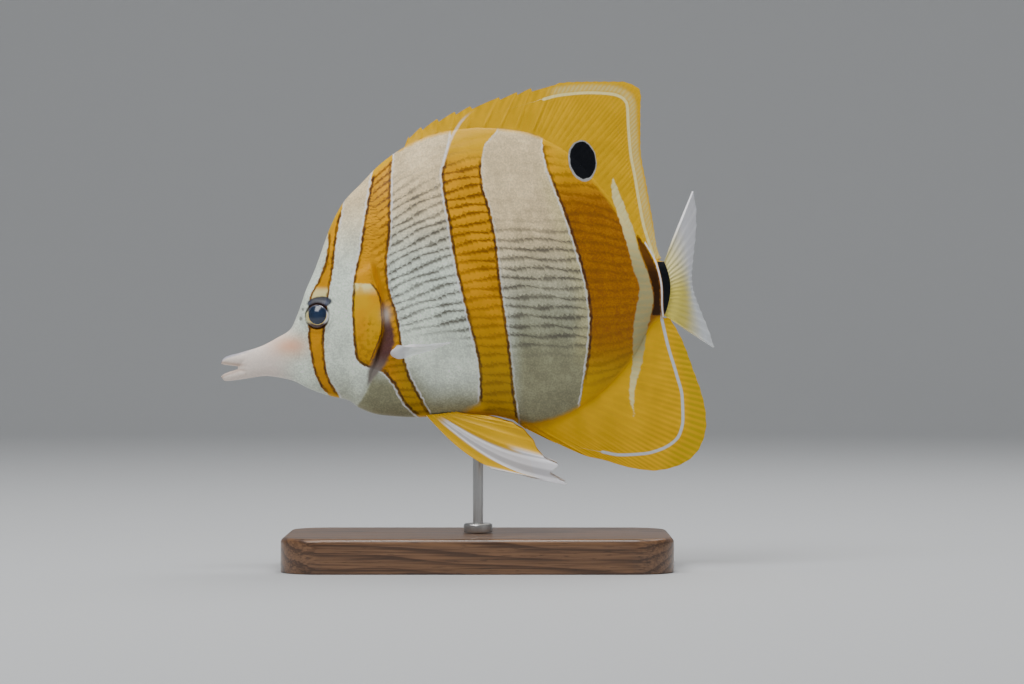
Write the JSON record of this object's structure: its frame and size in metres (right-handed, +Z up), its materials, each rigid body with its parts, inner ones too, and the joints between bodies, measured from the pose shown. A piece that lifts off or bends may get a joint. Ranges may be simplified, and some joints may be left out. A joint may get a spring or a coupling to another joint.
{
  "type": "copperband butterflyfish",
  "caption": "Life-size still copperband butterflyfish with a long snout, copper-yellow bars and spread fins, on a rod and a flat wooden base.",
  "frame": {"origin": "centre of the underside of the stand's base, on the axis of its rod", "axes": "+X towards the fish's tail and -X towards its snout, -Y on its left side, +Z up"},
  "size_m": [0.1451, 0.064, 0.1412],
  "materials": {
    "pearl_skin": "pearly white scales between copper-yellow bars, satin and wet-looking",
    "snout_skin": "pinkish white bare skin, satin",
    "copper_skin": "copper-yellow scaled plate, glossy",
    "dark_skin": "near-black band round the tail stalk, satin",
    "yellow_fin": "rayed yellow membrane, satin, slightly see-through at the margin",
    "clear_fin": "rayed whitish membrane, partly see-through",
    "eye": "glossy dark blue",
    "walnut": "oiled dark walnut",
    "steel": "brushed"
  },
  "bodies": {
    "root": {"upper_jaw": "snout_skin", "lower_jaw": "snout_skin", "snout": "snout_skin", "head": "pearl_skin", "gill_cover_left": "copper_skin", "gill_cover_right": "copper_skin", "eye_left": "eye", "eye_right": "eye", "torso": "pearl_skin", "tail_stalk": "dark_skin", "dorsal_fin_spiny": "yellow_fin", "dorsal_fin_soft": "yellow_fin", "anal_fin": "yellow_fin", "caudal_fin": "clear_fin", "pectoral_fin_left": "clear_fin", "pectoral_fin_right": "clear_fin", "pelvic_fin_left": "yellow_fin", "pelvic_fin_right": "yellow_fin", "stand_base": "walnut", "stand_rod": "steel", "stand_collar": "steel"}
  },
  "joints": []
}
